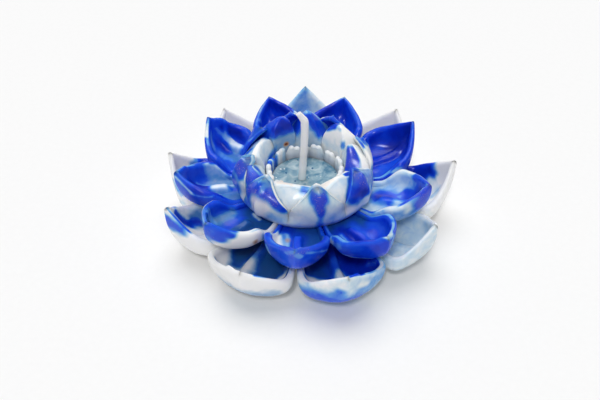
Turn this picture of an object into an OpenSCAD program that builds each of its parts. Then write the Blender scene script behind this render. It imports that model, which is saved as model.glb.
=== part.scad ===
// Lotus candle of cast wax: two rings of cupped petals and a bud on a wax base, with a wick in the bud's cup.
// Millimetres. The origin is on the table under the middle of the foot, and +Z is up.

/* [Base] */
// Radius of the foot that the candle stands on
foot_r = 26; // [20:0.5:32]
// Thickness of the foot
foot_t = 2; // [1.5:0.25:4]
// Radius of the column that the petals are welded round
column_r = 13.4; // [12:0.1:14.5]
// Height of the cup's floor above the bud's seat
cup_floor_h = 3; // [2:0.1:4.5]

/* [Outer petals] */
// Number of petals in the outer ring
outer_count = 9; // [7:1:11]
// Distance from the axis to the tip of an outer petal
outer_tip_r = 50; // [47:0.5:54]
// Height of the tip above the petal's own underside
outer_tip_h = 21; // [17:0.5:24]
// Distance from the axis at which an outer petal is widest
outer_wide_r = 41; // [38:0.5:43]
// Distance from the axis at which the floor of an outer petal starts to turn up
outer_bend_r = 36; // [33:0.5:38]
// Height of the side rim above the petal's own underside
outer_rim_h = 10; // [7.5:0.25:11]
// Thickness of an outer petal
outer_wall = 2.2; // [1.6:0.1:3]

/* [Middle petals] */
// Number of petals in the middle ring
middle_count = 9; // [7:1:11]
// Distance from the axis to the tip of a middle petal
middle_tip_r = 44; // [40:0.5:47]
// Height of the tip above the petal's own underside
middle_tip_h = 13.8; // [10:0.5:17]
// Distance from the axis at which a middle petal is widest
middle_wide_r = 32.5; // [30:0.5:35]
// Distance from the axis at which the floor of a middle petal starts to turn up
middle_bend_r = 31.5; // [29:0.5:33]
// Height of the side rim above the petal's own underside
middle_rim_h = 9; // [6:0.25:11]
// Thickness of a middle petal
middle_wall = 2.2; // [1.6:0.1:3]

/* [Tips and ribs] */
// Thickness of an outer or middle petal at its pinched tip
tip_wall = 1.2; // [0.8:0.1:2]
// Height of the rib along the middle of a petal
rib_h = 1.7; // [0.8:0.1:2.4]
// Half the width of the rib, halfway up its side
rib_r = 1.6; // [1.2:0.1:2.4]
// Width of the slope on each side of the rib
rib_slope = 0.8; // [0.4:0.1:1.2]

/* [Bud] */
// Number of petals in each of the bud's two rings
bud_count = 8; // [6:1:10]
// Radius of the bud at its seat
bud_seat_r = 21.5; // [20:0.1:23.5]
// Radius of the bud at its belly
bud_belly_r = 24.4; // [23:0.1:26]
// Height of the belly above the bud's seat
bud_belly_h = 6.5; // [4:0.25:8]
// Radius of the bud's outer face at the tips of its outer petals
bud_tip_r = 21.2; // [20:0.1:23]
// Height of the outer petals of the bud
bud_h = 15.6; // [12:0.2:19]
// Thickness of the outer petals of the bud at the belly
bud_wall = 1.7; // [1.2:0.1:2.4]
// Thickness of the outer petals of the bud at their tips
bud_tip_wall = 1; // [0.8:0.1:1.6]
// Height of the keel down the back of an outer petal of the bud
bud_keel_h = 0.8; // [0.2:0.1:1.4]
// Height of the inner petals of the bud
bud_inner_h = 14.2; // [11:0.2:17]
// Radius of the back of the inner petals at their tips
bud_inner_tip_r = 17.4; // [16.8:0.1:18.5]
// Radius of the bud's mouth at the tips of its inner petals
bud_mouth_r = 15.6; // [14.8:0.1:16.6]

/* [Stamens and wax pool] */
// Number of stamens round the pool
stamen_count = 28; // [20:1:32]
// Diameter of a stamen
stamen_d = 1.9; // [1.4:0.05:2.1]
// Height of a stamen above the cup's floor
stamen_h = 7; // [4:0.25:9]
// Thickness of the wax pool in the middle
pool_t = 0.8; // [0.6:0.05:1.5]
// Depth of the dish in the top of the wax pool
pool_dish = 0.6; // [0.2:0.05:1]

/* [Wick and tab] */
// Diameter of the waxed wick
wick_d = 2.6; // [1.8:0.1:3.2]
// Length of wick that stands above the wax pool, up to its kink
wick_free_h = 24; // [12:0.5:30]
// Length of the bent end of the wick
wick_end_l = 3.6; // [2:0.2:6]
// Angle of the bent end from upright
wick_end_angle = 36; // [0:1:70]
// Diameter of the metal tab that anchors the wick
tab_d = 15; // [12:0.5:20]
// Thickness of the tab's metal
tab_t = 0.4; // [0.3:0.05:0.6]
// Height of the crimped neck of the tab
tab_neck_h = 4; // [2.5:0.25:6]

/* [Fits] */
// Gap between neighbouring petals of a ring
petal_gap = 0.4; // [0.2:0.05:0.8]
// Gap between a petal and what it stands on
stack_gap = 0.25; // [0.15:0.05:0.4]
// Gap between faces that are joined with melted wax
weld_gap = 0.1; // [0.05:0.05:0.2]
// Gap round the wick in its bore and in the neck of its tab
wick_gap = 0.05; // [0.02:0.01:0.1]

/* [Hidden] */
$fn = 48;

// Heights of the undersides of the parts that stand on one another
outer_z = foot_t + weld_gap;
middle_z = outer_z + outer_rim_h + stack_gap;
bud_z = middle_z + middle_wall + stack_gap;
cup_z = bud_z + cup_floor_h;
pool_z = cup_z + weld_gap;
kink_z = pool_z + pool_t + wick_free_h;

// The tab lies in a recess, clear of the table
tab_recess = 2 * tab_t;
wick_low_z = tab_recess;
neck_r = wick_d / 2 + wick_gap + tab_t;

// Stamens stand in a ring just inside the column's edge
stamen_ring_r = column_r - stamen_d / 2;
stamen_band_t = pool_t;
stamen_facets = 16;
pool_r = stamen_ring_r - stamen_d / 2 - weld_gap;

// Direction of the first petal of each ring, in degrees from +X, and how far each is off its even place
outer_first = -110;
outer_turn = [-4, -5, -1, -5.5, -3.5, 0, -1, -1, -6.5];
middle_first = -90;
middle_turn = [-4, -5.5, -6, 0, 0, -1.5, -6, -2, -4];
bud_first = -78;
bud_turn = [0, 2, 12, 6, 2, -5, -4, -6];
bud_inner_first = -105;
bud_inner_turn = [0, 10, 23, 12, 13, 1, -5, -6];

// How far the joint after each petal is off the middle between it and the next one, in degrees
outer_joint = [0.2, 2, 0, 0, 0, 0, 0, 0, -2.8];
middle_joint = [0, 0, 0, 0, 0, 0, 0, -4, 0];
bud_joint = [0];

// How much further out and higher each hand-finished petal ends than its ring's own size
outer_reach = [-0.5, 2, 0, 2.6, 0.4, 0.4, -0.6, -0.9, 0];
outer_rise = [-6, -2.8, -3, 0.6, 0.4, 1.8, -0.8, -0.2, -1.2];
middle_reach = [0.4, 2, -0.4, 1.4, -0.1, -0.2, 0.3, 0.4, 1.2];
middle_rise = [-0.4, -0.8, -0.3, 1.3, -0.3, -0.4, 0.6, 0.2, 0.2];
bud_rise = [0, 0, 0.4, 2.4, 2.9, 2, 0, 0];
bud_inner_rise = [0, 0.6, 1.8, 4.1, 6, 5.5, 0.4, 0];

// How much further out each hand-finished petal is widest than its ring's own size
outer_broad = [0, -1, 1.5, 0, 0, 0, 0, 0, -2];
middle_broad = [0, 2, 0, 0, 0, 0, 0, 0, 0];

// Columns across a petal, from its right edge to its left one. Two on each side mark the rib's top and foot
rib_top_column = 0.03;
rib_foot_column = 0.06;
cup_columns = [-1, -0.8, -0.6, -0.4, -0.2, -0.06, -0.03, 0, 0.03, 0.06, 0.2, 0.4, 0.6, 0.8, 1];
bud_columns = [-1, -0.7, -0.4, -0.15, 0, 0.15, 0.4, 0.7, 1];
cup_rows = 10;
bud_rows = 7;

// Profile of a cupped petal: how square its bend is, how its rim climbs to the tip, how it narrows to the
// tip, how full its sides are, and how high its rim's crest is for its wall
bend_power = 2.4;
rim_power = 1.5;
taper_power = 2.1;
side_power = 0.77;
crest_share = 0.3;

// How far inside its widest place a petal starts to narrow, and over what lengths its rim and rib come and go
taper_run = 4;
rim_run = 4;
rib_start_run = 3;
rib_end_run = 3;

// Profile of a bud petal: the crest on its rim, how far the sides of its back fall in, the share of its width
// that the keel takes, the share of its height at which it starts to narrow, and how round its outline is
bud_crest_h = 0.5;
bud_side_drop = 0.5;
bud_keel_share = 0.4;
bud_shoulder = 0.45;
bud_taper_power = 1.4;

// Flat edge left round the dish in the pool, and how far a cut runs past a face
pool_edge = 1;
cut = 1;

white_wax = "#e9eef2";
blue_wax = "#1533c4";
pale_wax = "#7fa9d6";
pool_wax = "#a9c0c8";

function ring_names(name, count) = [for (k = [1:count]) str(name, "_", k)];

// Item k of a list that is used again from its start when it is too short
function item(list, k) = list[k % len(list)];

// Direction of petal k of a ring, counted from 0
function heading(first, count, turns, k) =
    first + 360 * k / count + item(turns, (k + count) % count);

// Angle from petal k to the joint with its neighbour: side is 1 for the next one and -1 for the one before
function half_sector(first, count, turns, joints, k, side) =
    abs(heading(first, count, turns, k + side) - heading(first, count, turns, k)) / 2
    + side * item(joints, side > 0 ? k : (k + count - 1) % count);

// Share of the way from one place to another, kept between 0 and 1
function share(x, from, to) = min(max((x - from) / max(to - from, 0.01), 0), 1);

function smooth(t) = t * t * (3 - 2 * t);

// The smaller of two lengths, with the corner between them rounded
function soft_min(a, b) = a <= 0 || b <= 0 ? 0 : pow(pow(a, -10) + pow(b, -10), -1 / 10);

// A closed petal between an outer and an inner skin. Each skin is a list of rows of points from the root up,
// and ends in one point at the tip. A raised crest runs along the rim between the two skins.
module petal_shell(outer, inner, outer_tip, inner_tip, crest_h) {
    rows = len(outer);
    last = len(outer[0]) - 1;
    width = last + 1;
    up = [0, 0, crest_h];
    crest_right = [for (i = [0:rows - 1]) (outer[i][0] + inner[i][0]) / 2 + up];
    crest_left = [for (i = [0:rows - 1]) (outer[i][last] + inner[i][last]) / 2 + up];
    points = concat(
        [for (row = outer) each row],
        [for (row = inner) each row],
        crest_right,
        crest_left,
        [outer_tip, inner_tip, (outer_tip + inner_tip) / 2 + up]
    );
    skin = rows * width;
    tips = 2 * skin + 2 * rows;
    // The number of each point: past the last row every skin and crest has its tip
    function out(i, j) = i < rows ? i * width + j : tips;
    function in(i, j) = i < rows ? skin + i * width + j : tips + 1;
    function right(i) = i < rows ? 2 * skin + i : tips + 2;
    function left(i) = i < rows ? 2 * skin + rows + i : tips + 2;
    // Two triangles for four corners, or one where two corners are the same point
    function quad(a, b, c, d) = [
        if (b != c) [a, b, c],
        if (c != d && d != a) [a, c, d]
    ];
    skins = [for (i = [0:rows - 1], j = [0:last - 1]) each concat(
        quad(out(i, j), out(i + 1, j), out(i + 1, j + 1), out(i, j + 1)),
        quad(in(i, j + 1), in(i + 1, j + 1), in(i + 1, j), in(i, j))
    )];
    rims = [for (i = [0:rows - 1]) each concat(
        quad(out(i, 0), right(i), right(i + 1), out(i + 1, 0)),
        quad(right(i), in(i, 0), in(i + 1, 0), right(i + 1)),
        quad(out(i + 1, last), left(i + 1), left(i), out(i, last)),
        quad(left(i + 1), in(i + 1, last), in(i, last), left(i))
    )];
    root = concat(
        [for (j = [0:last - 1]) each quad(out(0, j), out(0, j + 1), in(0, j + 1), in(0, j))],
        [[out(0, 0), in(0, 0), right(0)], [out(0, last), left(0), in(0, last)]]
    );
    polyhedron(points, concat(skins, rims, root));
}

// A boat-shaped petal that points along +X: its floor runs out from the column, then turns up to a pointed
// tip, and its side rims rise from rise_r outwards. half_right and half_left are its half sectors.
module cup_petal(low_z, tip_r, tip_z, wide_r, bend_r, rim_z, rise_r, wall, half_right, half_left) {
    root_r = column_r + weld_gap;
    inner_tip_r = tip_r - tip_wall;
    crest_h = crest_share * wall;
    tip_top = tip_z - crest_h;
    rim_top = rim_z - crest_h;

    // Rows are closer together towards the tip
    function row_r(i, end) = root_r + (end - root_r) * (1 - pow(1 - i / cup_rows, 2));
    function floor_z(x, end, lift) =
        low_z + lift + (tip_top - low_z - lift)
        * (1 - pow(1 - pow(share(x, bend_r, end), bend_power), 1 / bend_power));
    function rim_at(x, end) =
        low_z + wall + (rim_top - low_z - wall) * smooth(share(x, rise_r, max(wide_r, rise_r + rim_run)))
        + (tip_top - rim_top) * pow(share(x, wide_r, end), rim_power);
    function half_width(x, end, half) = soft_min(
        x * tan(half) - petal_gap / 2 / cos(half),
        wide_r * tan(half) * (1 - pow(share(x, wide_r - taper_run, end), taper_power))
    );
    // The root row lies on a circle round the column
    function root_width(half) = root_r * sin(half - asin(petal_gap / 2 / root_r));
    function root_hollow(y) = root_r - sqrt(root_r * root_r - y * y);
    // Places across a petal of a given half width: the rib keeps its own width, and the rest is shared out
    function rib_top(width) = min(rib_r - rib_slope / 2, width / 4);
    function rib_foot(width) = min(rib_r + rib_slope / 2, width / 2.5);
    function across(a, width) =
        a <= rib_top_column ? rib_top(width) * a / rib_top_column
        : let (u = max(a - rib_foot_column, 0) / (1 - rib_foot_column))
        rib_foot(width) + (width - rib_foot(width)) * pow(sin(90 * u), side_power);
    function rib(a, x, end) =
        (a <= rib_top_column ? rib_h : 0)
        * smooth(share(x, rise_r, rise_r + rib_start_run)) * (1 - smooth(share(x, end - rib_end_run, end)));
    function skin_point(i, t, end, lift, inset) =
        let (
            x = row_r(i, end),
            half = t < 0 ? half_right : half_left,
            narrow = 1 - inset / (wide_r * tan(half)),
            width = narrow * (i == 0 ? root_width(half) : half_width(x, end, half)),
            y = sign(t) * across(abs(t), width),
            low = floor_z(x, end, lift),
            side = max(rim_at(x, end) - low, 0) * (1 - pow(cos(90 * abs(t)), side_power))
        )
        [x - (i == 0 ? root_hollow(y) : 0), y, low + side + (inset > 0 ? rib(abs(t), x, end) : 0)];
    function skin(end, lift, inset) = [
        for (i = [0:cup_rows - 1]) [for (t = cup_columns) skin_point(i, t, end, lift, inset)]
    ];

    petal_shell(
        skin(tip_r, 0, 0),
        skin(inner_tip_r, wall, wall),
        [tip_r, 0, tip_top],
        [inner_tip_r, 0, tip_top],
        crest_h
    );
}

// An upright petal of the bud that faces +X. back and front hold the radii of its two faces at the seat, the
// belly and the tip, and keel_h is the height of the keel down its back.
module bud_petal(back, front, h, keel_h, half_right, half_left) {
    top = h - bud_crest_h;
    belly = bud_belly_h / h;

    function face_r(radii, s) = s < belly
        ? radii[1] - (radii[1] - radii[0]) * pow(1 - s / belly, 2)
        : radii[1] - (radii[1] - radii[2]) * pow((s - belly) / (1 - belly), 2);
    function half_angle(s, half) = half * (1 - pow(share(s, bud_shoulder, 1), bud_taper_power));
    function back_bulge(s, t) =
        smooth(share(s, 0, belly)) * (
            keel_h * max(1 - pow(t / bud_keel_share, 2), 0) * (1 - smooth(share(s, belly, 1)))
            - min(bud_side_drop, keel_h) * t * t
        );
    function skin_point(s, t, r, bulge) =
        let (
            half = t < 0 ? half_right : half_left,
            a = t * half_angle(s, half - petal_gap / 2 / r * 180 / PI)
        )
        [(r + bulge) * cos(a), (r + bulge) * sin(a), bud_z + top * s];

    steps = [for (i = [0:bud_rows - 1]) 1 - pow(1 - i / bud_rows, 1.3)];
    petal_shell(
        [for (s = steps) [for (t = bud_columns) skin_point(s, t, face_r(back, s), back_bulge(s, t))]],
        [for (s = steps) [for (t = bud_columns) skin_point(s, t, face_r(front, s), 0)]],
        [back[2], 0, bud_z + top],
        [front[2], 0, bud_z + top],
        bud_crest_h
    );
}

module outer_petal(k) {
    color(k < 2 ? white_wax : pale_wax)
        rotate([0, 0, heading(outer_first, outer_count, outer_turn, k)])
            cup_petal(
                outer_z,
                outer_tip_r + item(outer_reach, k),
                outer_z + outer_tip_h + item(outer_rise, k),
                outer_wide_r + item(outer_broad, k),
                outer_bend_r,
                outer_z + outer_rim_h,
                column_r + weld_gap,
                outer_wall,
                half_sector(outer_first, outer_count, outer_turn, outer_joint, k, -1),
                half_sector(outer_first, outer_count, outer_turn, outer_joint, k, 1)
            );
}

module middle_petal(k) {
    color(blue_wax)
        rotate([0, 0, heading(middle_first, middle_count, middle_turn, k)])
            cup_petal(
                middle_z,
                middle_tip_r + item(middle_reach, k),
                middle_z + middle_tip_h + item(middle_rise, k),
                middle_wide_r + item(middle_broad, k),
                middle_bend_r,
                middle_z + middle_rim_h,
                bud_belly_r + stack_gap,
                middle_wall,
                half_sector(middle_first, middle_count, middle_turn, middle_joint, k, -1),
                half_sector(middle_first, middle_count, middle_turn, middle_joint, k, 1)
            );
}

module bud_outer_petal(k) {
    color(white_wax)
        rotate([0, 0, heading(bud_first, bud_count, bud_turn, k)])
            bud_petal(
                [bud_seat_r, bud_belly_r, bud_tip_r],
                [bud_seat_r - bud_wall, bud_belly_r - bud_wall, bud_tip_r - bud_tip_wall],
                bud_h + item(bud_rise, k),
                bud_keel_h,
                half_sector(bud_first, bud_count, bud_turn, bud_joint, k, -1),
                half_sector(bud_first, bud_count, bud_turn, bud_joint, k, 1)
            );
}

// The inner petals lie against the fronts of the outer ones, and lean in further
module bud_inner_petal(k) {
    root_r = column_r + weld_gap;
    color(pale_wax)
        rotate([0, 0, heading(bud_inner_first, bud_count, bud_inner_turn, k)])
            bud_petal(
                [bud_seat_r - bud_wall - weld_gap, bud_belly_r - bud_wall - weld_gap, bud_inner_tip_r],
                [root_r, root_r, bud_mouth_r],
                bud_inner_h + item(bud_inner_rise, k),
                0,
                half_sector(bud_inner_first, bud_count, bud_inner_turn, bud_joint, k, -1),
                half_sector(bud_inner_first, bud_count, bud_inner_turn, bud_joint, k, 1)
            );
}

// Foot and column in one casting, bored for the wick and recessed below for its tab
module wax_base() {
    color(white_wax)
        difference() {
            union() {
                cylinder(r = foot_r, h = foot_t);
                cylinder(r = column_r, h = cup_z);
            }
            translate([0, 0, -cut])
                cylinder(r = wick_d / 2 + wick_gap, h = cup_z + 2 * cut);
            translate([0, 0, -cut])
                cylinder(r = tab_d / 2 + weld_gap, h = cut + tab_recess + tab_t + weld_gap);
            translate([0, 0, -cut])
                cylinder(r = neck_r + weld_gap, h = cut + tab_recess + tab_neck_h + weld_gap);
        }
}

// Wax set in the cup round the wick, turned with a shallow dish in its top
module wax_pool() {
    bore_r = wick_d / 2 + wick_gap;
    dish_r = pool_r - pool_edge;
    dish_z = pool_t + pool_dish;
    color(pool_wax)
        translate([0, 0, pool_z])
            rotate_extrude()
                polygon([
                    [bore_r, 0],
                    [pool_r, 0],
                    [pool_r, dish_z],
                    [dish_r, dish_z],
                    [(bore_r + dish_r) / 2, pool_t + pool_dish / 4],
                    [bore_r, pool_t]
                ]);
}

// A fringe of round-headed stamens on a band round the pool
module stamen_ring() {
    color(white_wax)
        translate([0, 0, pool_z]) {
            difference() {
                cylinder(r = stamen_ring_r + stamen_d / 4, h = stamen_band_t);
                translate([0, 0, -cut])
                    cylinder(r = stamen_ring_r - stamen_d / 4, h = stamen_band_t + 2 * cut);
            }
            for (k = [0:stamen_count - 1])
                rotate([0, 0, 360 * k / stamen_count])
                    translate([stamen_ring_r, 0, 0]) {
                        cylinder(d = stamen_d, h = stamen_h - stamen_d / 2, $fn = stamen_facets);
                        translate([0, 0, stamen_h - stamen_d / 2])
                            sphere(d = stamen_d, $fn = stamen_facets);
                    }
        }
}

// Waxed cotton wick, upright from its tab to a kink, with its cut end bent to the left
module wick() {
    color("#f3f0ea") {
        translate([0, 0, wick_low_z])
            cylinder(d = wick_d, h = kink_z - wick_low_z);
        translate([0, 0, kink_z])
            sphere(d = wick_d);
        translate([0, 0, kink_z])
            rotate([0, -wick_end_angle, 0])
                cylinder(d = wick_d, h = wick_end_l);
    }
}

// Tinplate disc with a neck that is crimped on the foot of the wick
module wick_tab() {
    color("silver")
        translate([0, 0, tab_recess])
            difference() {
                union() {
                    cylinder(d = tab_d, h = tab_t);
                    cylinder(r = neck_r, h = tab_neck_h);
                }
                translate([0, 0, -cut])
                    cylinder(r = wick_d / 2 + wick_gap, h = tab_neck_h + 2 * cut);
            }
}

wax_base();
wax_pool();
stamen_ring();
wick();
wick_tab();
for (k = [0:outer_count - 1])
    outer_petal(k);
for (k = [0:middle_count - 1])
    middle_petal(k);
for (k = [0:bud_count - 1])
    bud_outer_petal(k);
for (k = [0:bud_count - 1])
    bud_inner_petal(k);
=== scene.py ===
import math

import bpy
import numpy as np
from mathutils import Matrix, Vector


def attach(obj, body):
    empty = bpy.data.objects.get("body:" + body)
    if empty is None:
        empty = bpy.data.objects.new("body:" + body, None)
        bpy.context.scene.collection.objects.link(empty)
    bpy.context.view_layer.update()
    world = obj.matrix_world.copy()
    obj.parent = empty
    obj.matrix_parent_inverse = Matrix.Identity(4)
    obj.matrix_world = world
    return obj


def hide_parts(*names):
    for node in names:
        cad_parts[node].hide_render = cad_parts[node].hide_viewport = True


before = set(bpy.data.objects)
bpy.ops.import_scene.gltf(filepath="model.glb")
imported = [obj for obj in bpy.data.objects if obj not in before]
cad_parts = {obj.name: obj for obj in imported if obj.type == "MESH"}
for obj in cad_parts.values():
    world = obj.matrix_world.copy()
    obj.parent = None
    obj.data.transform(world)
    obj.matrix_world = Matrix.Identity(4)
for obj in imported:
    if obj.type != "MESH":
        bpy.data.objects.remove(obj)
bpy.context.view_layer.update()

# Camera, light and floor.
# The candle is seen from 30 cm off and about 40 degrees above the table, with a short portrait lens.
# A wide softbox hangs above and a little behind it, a small one stands in front and adds glints, and the
# table is matt white card.
eye_rise, eye_off, aim_h = math.radians(39.7), 0.3, 0.01
eye = Vector((0, -eye_off * math.cos(eye_rise), aim_h + eye_off * math.sin(eye_rise)))
bpy.ops.object.camera_add(location=eye)
camera = bpy.context.object
camera.name = "camera"
middle_of_view = Vector((-0.0017, -0.0005, 0.0094))
camera.rotation_euler = (middle_of_view - eye).to_track_quat("-Z", "Y").to_euler()
camera.data.lens = 51.2
camera.data.clip_start = 0.01
bpy.context.scene.camera = camera
bpy.context.scene.view_settings.view_transform = "Standard"

bpy.ops.object.light_add(type="SUN", location=(-0.04, 0.26, 0.75))
over = bpy.context.object
over.name = "wide_softbox"
over.rotation_euler = (-over.location).to_track_quat("-Z", "Y").to_euler()
over.data.energy = 1.72
over.data.angle = math.radians(52)
bpy.ops.object.light_add(type="SUN", location=(-0.05, -0.36, 0.5))
glint = bpy.context.object
glint.name = "small_softbox"
glint.rotation_euler = (-glint.location).to_track_quat("-Z", "Y").to_euler()
glint.data.energy = 1.12
glint.data.angle = math.radians(10)


def add(tree, kind, sockets={}, **settings):
    made = tree.nodes.new(kind)
    for name, value in settings.items():
        setattr(made, name, value)
    for name, value in sockets.items():
        if isinstance(value, bpy.types.NodeSocket):
            tree.links.new(value, made.inputs[name])
        else:
            made.inputs[name].default_value = value
    return made


def tint(code):
    parts = [int(code[k:k + 2], 16) / 255 for k in (1, 3, 5)]
    return [p / 12.92 if p <= 0.04045 else ((p + 0.055) / 1.055) ** 2.4 for p in parts] + [1]


room = bpy.data.worlds.new("white_room")
bpy.context.scene.world = room
room.use_nodes = True
tree = room.node_tree
tree.nodes.clear()
sky = add(tree, "ShaderNodeBackground", {"Color": tint("#ffffff"), "Strength": 0.3})
add(tree, "ShaderNodeOutputWorld", {"Surface": sky.outputs[0]})

card = bpy.data.materials.new("matt_white_card")
card.use_nodes = True
tree = card.node_tree
tree.nodes.clear()
# Fibres in the card, about 2 mm long
spot = add(tree, "ShaderNodeTexCoord")
fibre = add(tree, "ShaderNodeTexNoise", {"Vector": spot.outputs["Object"], "Scale": 1 / 0.002, "Detail": 3.0})
tone = add(tree, "ShaderNodeMix", {
    "Factor": fibre.outputs["Fac"],
    "A": tint("#eeeeee"),
    "B": tint("#f2f2f2"),
}, data_type="RGBA")
paper = add(tree, "ShaderNodeBsdfPrincipled", {"Base Color": tone.outputs["Result"], "Roughness": 0.9})
glow = add(tree, "ShaderNodeEmission", {"Color": tint("#ffffff"), "Strength": 1.0})
both = add(tree, "ShaderNodeMixShader", {0: 0.05, 1: paper.outputs[0], 2: glow.outputs[0]})
add(tree, "ShaderNodeOutputMaterial", {"Surface": both.outputs[0]})
bpy.ops.mesh.primitive_plane_add(size=6)
floor = bpy.context.object
floor.name = "floor"
floor.data.materials.append(card)


# Base.
# A foot and a column of plain white paraffin in one casting, poured first, that the petals are welded round.
# It keeps its CAD solid, and only its underside is seen.
# Paraffin is milky and satin: light goes a few millimetres in, and the cast skin has faint dimples.
def cast_wax(name, colour_of, reach=0.004):
    wax = bpy.data.materials.new(name)
    wax.use_nodes = True
    tree = wax.node_tree
    tree.nodes.clear()
    place = add(tree, "ShaderNodeTexCoord")
    # Soft dimples about 5 mm apart and a finer skin of about 0.8 mm
    spot = place.outputs["Object"]
    dimples = add(tree, "ShaderNodeTexNoise", {"Vector": spot, "Scale": 1 / 0.005, "Detail": 2.0})
    skin = add(tree, "ShaderNodeTexNoise", {"Vector": spot, "Scale": 1 / 0.0008, "Detail": 2.0})
    waves = add(tree, "ShaderNodeBump", {
        "Height": dimples.outputs["Fac"],
        "Strength": 0.25,
        "Distance": 0.0006,
    })
    relief = add(tree, "ShaderNodeBump", {
        "Height": skin.outputs["Fac"],
        "Normal": waves.outputs[0],
        "Strength": 0.12,
        "Distance": 0.0001,
    })
    gloss = add(tree, "ShaderNodeMapRange", {"Value": dimples.outputs["Fac"], "To Min": 0.14, "To Max": 0.3})
    body = add(tree, "ShaderNodeBsdfPrincipled", {
        "Base Color": colour_of(tree, spot),
        "Roughness": gloss.outputs[0],
        "IOR": 1.44,
        "Specular IOR Level": 0.36,
        "Normal": relief.outputs[0],
        "Subsurface Weight": 0.85,
        "Subsurface Radius": (1.0, 1.0, 1.1),
        "Subsurface Scale": reach,
    })
    add(tree, "ShaderNodeOutputMaterial", {"Surface": body.outputs[0]})
    return wax


def plain_milk(tree, spot):
    cloud = add(tree, "ShaderNodeTexNoise", {"Vector": spot, "Scale": 1 / 0.012, "Detail": 3.0})
    mix = add(tree, "ShaderNodeMix", {
        "Factor": cloud.outputs["Fac"],
        "A": tint("#dfe6ea"),
        "B": tint("#eef1f2"),
    }, data_type="RGBA")
    return mix.outputs["Result"]


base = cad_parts["wax_base"]
base.data.materials.clear()
base.data.materials.append(cast_wax("white_paraffin", plain_milk))


# Outer petals.
# Nine boat-shaped petals of white paraffin streaked with blue dye, each pressed over a mould with a rib along
# it and welded to the column by its root. They stand on the foot, and their tips are pinched thin by hand.
def marbled_and_shaded(tree, spot):
    # The dye was worked in by hand: red holds its strength, green the gold dust on the tips, blue the flecks,
    # and alpha the share of a deep teal that is painted shade in the hollows of the cups and low on the
    # petals.
    # The red strength carries painted light too: its navy end is partly royal wax in shade, and some pale
    # strokes are painted highlights.
    dye_and_shade = add(tree, "ShaderNodeAttribute", attribute_name="dye_and_shade")
    parts = add(tree, "ShaderNodeSeparateColor", {"Color": dye_and_shade.outputs["Color"]})
    # The dye feathers into the white over 1 to 3 mm
    swirl = add(tree, "ShaderNodeTexNoise", {
        "Vector": spot,
        "Scale": 1 / 0.003,
        "Detail": 3.0,
        "Distortion": 0.6,
    })
    stray = add(tree, "ShaderNodeMapRange", {
        "Value": swirl.outputs["Fac"],
        "From Min": 0.25,
        "From Max": 0.75,
        "To Min": -0.06,
        "To Max": 0.06,
    })
    strength = add(tree, "ShaderNodeMath", {0: parts.outputs["Red"], 1: stray.outputs[0]}, operation="ADD")
    strength = add(tree, "ShaderNodeMath", {0: strength.outputs[0], 1: 0.8}, operation="MULTIPLY")
    # The brighter royal stops stand partly for lit blue wax, and the navy end partly for royal wax in shade
    shade = add(tree, "ShaderNodeValToRGB", {"Fac": strength.outputs[0]})
    stops = shade.color_ramp.elements
    stops[0].position, stops[0].color = 0.1, tint("#f8f7f5")
    stops[1].position, stops[1].color = 0.8, tint("#04209c")
    blues = [(0.22, "#c6dbea"), (0.36, "#62a3e0"), (0.48, "#1f5cdc"), (0.6, "#0c46d2"), (0.7, "#0730bc")]
    for place, code in blues:
        stop = stops.new(place)
        stop.color = tint(code)
    # Painted shade: the alpha share turns the colour deep teal where the cups and petals lie in shade
    shade = add(tree, "ShaderNodeMix", {
        "Factor": dye_and_shade.outputs["Alpha"],
        "A": shade.outputs["Color"],
        "B": tint("#1c568f"),
    }, data_type="RGBA")
    # Gold dust is too fine to show, so it is drawn in grains about 0.4 mm apart
    grains = add(tree, "ShaderNodeTexVoronoi", {"Vector": spot, "Scale": 1 / 0.00042})
    bright = add(tree, "ShaderNodeMapRange", {
        "Value": grains.outputs["Distance"],
        "From Min": 0.2,
        "From Max": 0.34,
        "To Min": 1.0,
        "To Max": 0.0,
    })
    pick = add(tree, "ShaderNodeSeparateColor", {"Color": grains.outputs["Color"]})
    kept = add(tree, "ShaderNodeMath", {0: pick.outputs["Red"], 1: 0.74}, operation="GREATER_THAN")
    dust = add(tree, "ShaderNodeMath", {0: bright.outputs[0], 1: kept.outputs[0]}, operation="MULTIPLY")
    dust = add(tree, "ShaderNodeMath", {0: dust.outputs[0], 1: parts.outputs["Green"]}, operation="MULTIPLY")
    dust = add(tree, "ShaderNodeMath", {0: dust.outputs[0], 1: 0.7}, operation="MULTIPLY")
    haze = add(tree, "ShaderNodeMath", {0: parts.outputs["Green"], 1: 0.5}, operation="MULTIPLY")
    mauve = add(tree, "ShaderNodeMix", {
        "Factor": haze.outputs[0],
        "A": shade.outputs["Result"],
        "B": tint("#5f5cc0"),
    }, data_type="RGBA")
    gilt = add(tree, "ShaderNodeMix", {
        "Factor": dust.outputs[0],
        "A": mauve.outputs["Result"],
        "B": tint("#d8b08a"),
    }, data_type="RGBA")
    # Flecks run from amber scorch to dark red
    fleck = add(tree, "ShaderNodeValToRGB", {"Fac": parts.outputs["Blue"]})
    ends = fleck.color_ramp.elements
    ends[0].position, ends[0].color = 0.6, tint("#c08a52")
    ends[1].position, ends[1].color = 0.9, tint("#5c1626")
    amount = add(tree, "ShaderNodeMath", {
        0: parts.outputs["Blue"],
        1: 1.6,
    }, operation="MULTIPLY", use_clamp=True)
    done = add(tree, "ShaderNodeMix", {
        "Factor": amount.outputs[0],
        "A": gilt.outputs["Result"],
        "B": fleck.outputs["Color"],
    }, data_type="RGBA")
    return done.outputs["Result"]


marbled_shaded_paraffin = cast_wax("marbled_shaded_paraffin", marbled_and_shaded)
mm = 0.001
column_r, weld_gap, stack_gap = 13.4, 0.1, 0.25
foot_t, outer_rim_h, outer_wall, middle_wall, tip_wall = 2.0, 10.0, 2.2, 2.2, 2.0
touch_gap = 0.2


def share(x, start, end):
    return np.clip((x - start) / np.maximum(end - start, 0.01), 0, 1)


def ease(t):
    return t * t * (3 - 2 * t)


def heading(first, turns, k):
    count = len(turns)
    return first + 360 * k / count + turns[k % count]


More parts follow.
